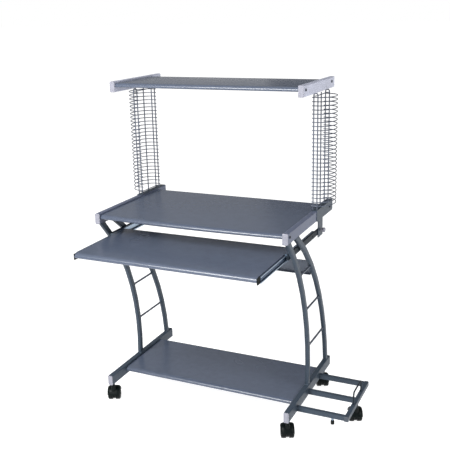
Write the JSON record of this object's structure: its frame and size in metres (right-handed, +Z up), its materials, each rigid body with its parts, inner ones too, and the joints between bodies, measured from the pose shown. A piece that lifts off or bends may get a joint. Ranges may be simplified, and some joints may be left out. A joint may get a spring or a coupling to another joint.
{
  "type": "mobile computer workstation",
  "caption": "Castored steel computer desk with a desktop, a raised shelf on wire media racks, a sliding keyboard tray, a low printer shelf and a side stand for a tower.",
  "frame": {"origin": "middle of the bounding box's underside, on the floor, with the tray pulled out", "axes": "+Z up; +Y towards the rear, so the user stands on the -Y side; +X towards the tower stand, on the user's right"},
  "size_m": [1.0257, 0.698, 1.262],
  "materials": {
    "frame_paint": "blue-grey hammer-speckled paint, satin",
    "rail_paint": "light silver-grey paint, satin",
    "cap_plastic": "light grey moulded plastic",
    "black_plastic": "black moulded plastic, semi-gloss",
    "panel_laminate": "particle board under a blue-grey laminate, satin",
    "slide_zinc": "bright zinc plate",
    "dark_steel": "near-black paint, satin",
    "rack_wire": "grey powder-coated wire",
    "foot_rubber": "black rubber, matte"
  },
  "bodies": {
    "frame": {"base_tube_left": "frame_paint", "desk_rail_left": "frame_paint", "leg_front_left": "frame_paint", "leg_rear_left": "frame_paint", "rack_saddle_left": "frame_paint", "hanger_left": "frame_paint", "shelf_rail_left": "rail_paint", "base_cap_left": "cap_plastic", "desk_cap_left": "cap_plastic", "shelf_cap_left": "cap_plastic", "hanger_knob_left": "cap_plastic", "tray_bar_left": "dark_steel", "brace_rod_left_1": "dark_steel", "brace_rod_left_2": "dark_steel", "brace_rod_left_3": "dark_steel", "slide_channel_left": "slide_zinc", "media_rack_left": "rack_wire", "base_tube_right": "frame_paint", "desk_rail_right": "frame_paint", "leg_front_right": "frame_paint", "leg_rear_right": "frame_paint", "rack_saddle_right": "frame_paint", "hanger_right": "frame_paint", "shelf_rail_right": "rail_paint", "base_cap_right": "cap_plastic", "desk_cap_right": "cap_plastic", "shelf_cap_right": "cap_plastic", "hanger_knob_right": "cap_plastic", "tray_bar_right": "dark_steel", "brace_rod_right_1": "dark_steel", "brace_rod_right_2": "dark_steel", "brace_rod_right_3": "dark_steel", "slide_channel_right": "slide_zinc", "media_rack_right": "rack_wire", "desktop": "panel_laminate", "top_shelf": "panel_laminate", "lower_shelf": "panel_laminate", "cross_member": "dark_steel", "stand_hoop": "dark_steel", "stand_frame": "frame_paint", "stand_cap_front": "black_plastic", "stand_cap_rear": "black_plastic", "stand_glide": "foot_rubber"},
    "tray": {"keyboard_tray": "panel_laminate", "slide_runner_left": "slide_zinc", "slide_runner_right": "slide_zinc", "slide_bumper_left": "black_plastic", "slide_bumper_right": "black_plastic"},
    "caster_front_left": {"caster_hood_front_left": "black_plastic"},
    "wheels_front_left": {"caster_wheels_front_left": "black_plastic"},
    "caster_front_right": {"caster_hood_front_right": "black_plastic"},
    "wheels_front_right": {"caster_wheels_front_right": "black_plastic"},
    "caster_rear_left": {"caster_hood_rear_left": "black_plastic"},
    "wheels_rear_left": {"caster_wheels_rear_left": "black_plastic"},
    "caster_rear_right": {"caster_hood_rear_right": "black_plastic"},
    "wheels_rear_right": {"caster_wheels_rear_right": "black_plastic"},
    "caster_stand": {"caster_hood_stand": "black_plastic"},
    "wheels_stand": {"caster_wheels_stand": "black_plastic"}
  },
  "joints": [
    {"name": "tray_slide", "type": "slide", "parent": "frame", "child": "tray", "axis": [0, -1, 0], "range_m": [-0.195, 0]},
    {"name": "swivel_front_left", "type": "hinge", "parent": "frame", "child": "caster_front_left", "pos_m": [-0.45593, -0.133, 0.025], "axis": [0, 0, 1], "continuous": true},
    {"name": "roll_front_left", "type": "hinge", "parent": "caster_front_left", "child": "wheels_front_left", "pos_m": [-0.46438, -0.11487, 0.025], "axis": [0.9063, 0.4226, 0], "continuous": true},
    {"name": "swivel_front_right", "type": "hinge", "parent": "frame", "child": "caster_front_right", "pos_m": [0.28807, -0.133, 0.025], "axis": [0, 0, 1], "continuous": true},
    {"name": "roll_front_right", "type": "hinge", "parent": "caster_front_right", "child": "wheels_front_right", "pos_m": [0.27962, -0.11487, 0.025], "axis": [0.9063, 0.4226, 0], "continuous": true},
    {"name": "swivel_rear_left", "type": "hinge", "parent": "frame", "child": "caster_rear_left", "pos_m": [-0.45593, 0.287, 0.025], "axis": [0, 0, 1], "continuous": true},
    {"name": "roll_rear_left", "type": "hinge", "parent": "caster_rear_left", "child": "wheels_rear_left", "pos_m": [-0.46438, 0.30513, 0.025], "axis": [0.9063, 0.4226, 0], "continuous": true},
    {"name": "swivel_rear_right", "type": "hinge", "parent": "frame", "child": "caster_rear_right", "pos_m": [0.28807, 0.287, 0.025], "axis": [0, 0, 1], "continuous": true},
    {"name": "roll_rear_right", "type": "hinge", "parent": "caster_rear_right", "child": "wheels_rear_right", "pos_m": [0.27962, 0.30513, 0.025], "axis": [0.9063, 0.4226, 0], "continuous": true},
    {"name": "swivel_stand", "type": "hinge", "parent": "frame", "child": "caster_stand", "pos_m": [0.48507, 0.073, 0.025], "axis": [0, 0, 1], "continuous": true},
    {"name": "roll_stand", "type": "hinge", "parent": "caster_stand", "child": "wheels_stand", "pos_m": [0.47662, 0.09113, 0.025], "axis": [0.9063, 0.4226, 0], "continuous": true}
  ]
}
